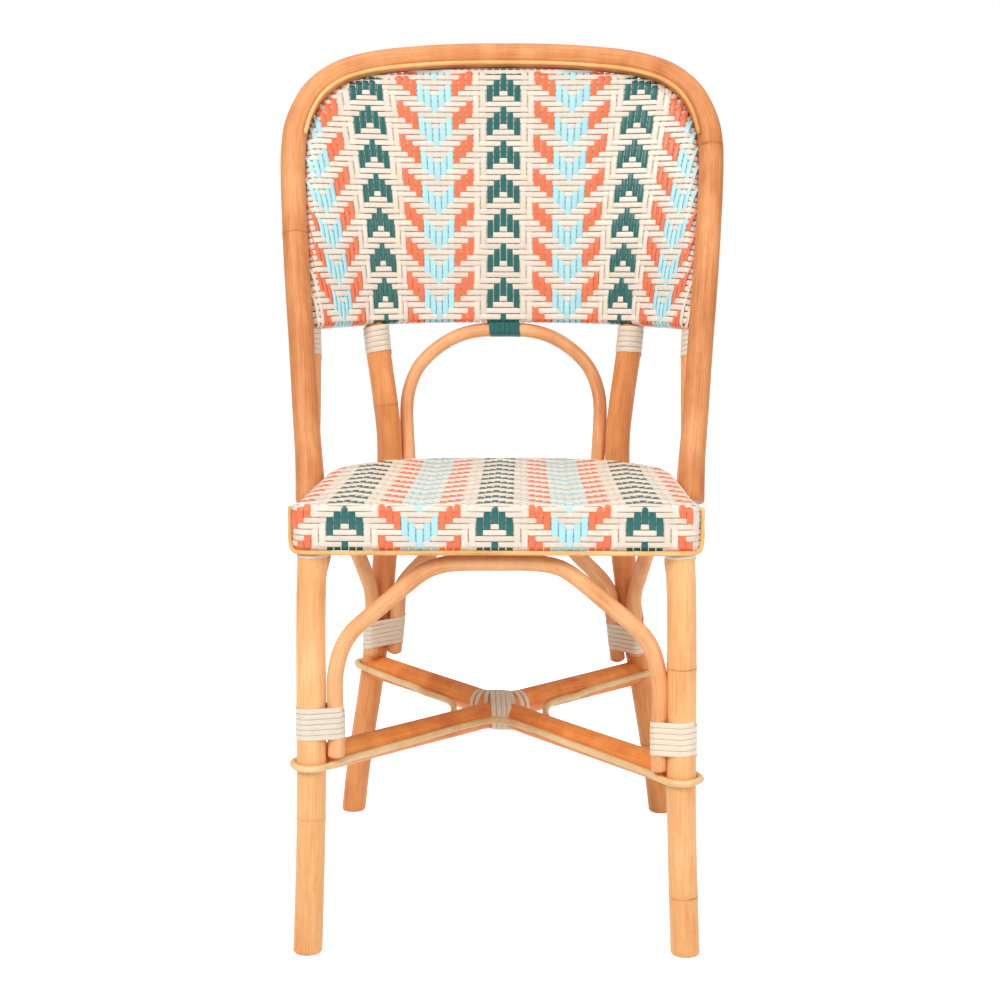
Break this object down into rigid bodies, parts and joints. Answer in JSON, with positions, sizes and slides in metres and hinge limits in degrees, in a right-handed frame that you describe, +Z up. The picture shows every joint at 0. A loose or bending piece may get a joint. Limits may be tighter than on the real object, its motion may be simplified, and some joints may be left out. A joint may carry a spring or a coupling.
{
  "type": "rattan bistro chair",
  "caption": "Armless cafe chair of bent rattan poles with lashed arches, a crossed stretcher, and a seat and curved hoop back woven in a coloured chevron pattern.",
  "frame": {"origin": "centre of the footprint at floor level", "axes": "+Z up, -Y towards the front of the seat, +X to the right as seen from the front"},
  "size_m": [0.4952, 0.491, 0.9051],
  "materials": {
    "rattan_pole": "varnished honey rattan",
    "rattan_pole_deep": "varnished deeper honey rattan",
    "rattan_core": "satin pale cane",
    "split_cane": "satin amber cane",
    "woven_strand": "satin ribbed strand, beige with green, orange and light blue",
    "binding_strip": "satin beige strip",
    "binding_strip_green": "satin dark green strip"
  },
  "bodies": {
    "root": {"front_leg_left": "rattan_pole", "front_leg_right": "rattan_pole", "back_leg_left": "rattan_pole", "back_leg_right": "rattan_pole", "outer_hoop": "rattan_pole", "inner_hoop": "rattan_pole", "seat_rail_upper": "rattan_pole", "seat_rail_lower": "rattan_pole", "seat_front_rail_upper": "rattan_pole", "seat_front_rail_lower": "rattan_pole", "back_rail_left": "rattan_pole", "back_rail_middle": "rattan_pole", "back_rail_right": "rattan_pole", "mid_arch": "rattan_pole", "front_arch": "rattan_pole", "rear_arch": "rattan_pole", "side_arch_left": "rattan_pole", "side_arch_right": "rattan_pole", "stretcher_front": "rattan_pole_deep", "stretcher_rear": "rattan_pole_deep", "stretcher_loop": "rattan_core", "seat_edge_cane": "split_cane", "back_edge_cane": "split_cane", "seat_weave": "woven_strand", "back_weave": "woven_strand", "lashing_front_left": "binding_strip", "lashing_front_right": "binding_strip", "lashing_rear_left": "binding_strip", "lashing_rear_right": "binding_strip", "lashing_cross": "binding_strip", "upright_wrap_left": "binding_strip", "upright_wrap_right": "binding_strip", "hoop_wrap_left": "binding_strip", "hoop_wrap_right": "binding_strip", "lashing_green": "binding_strip_green"}
  },
  "joints": []
}
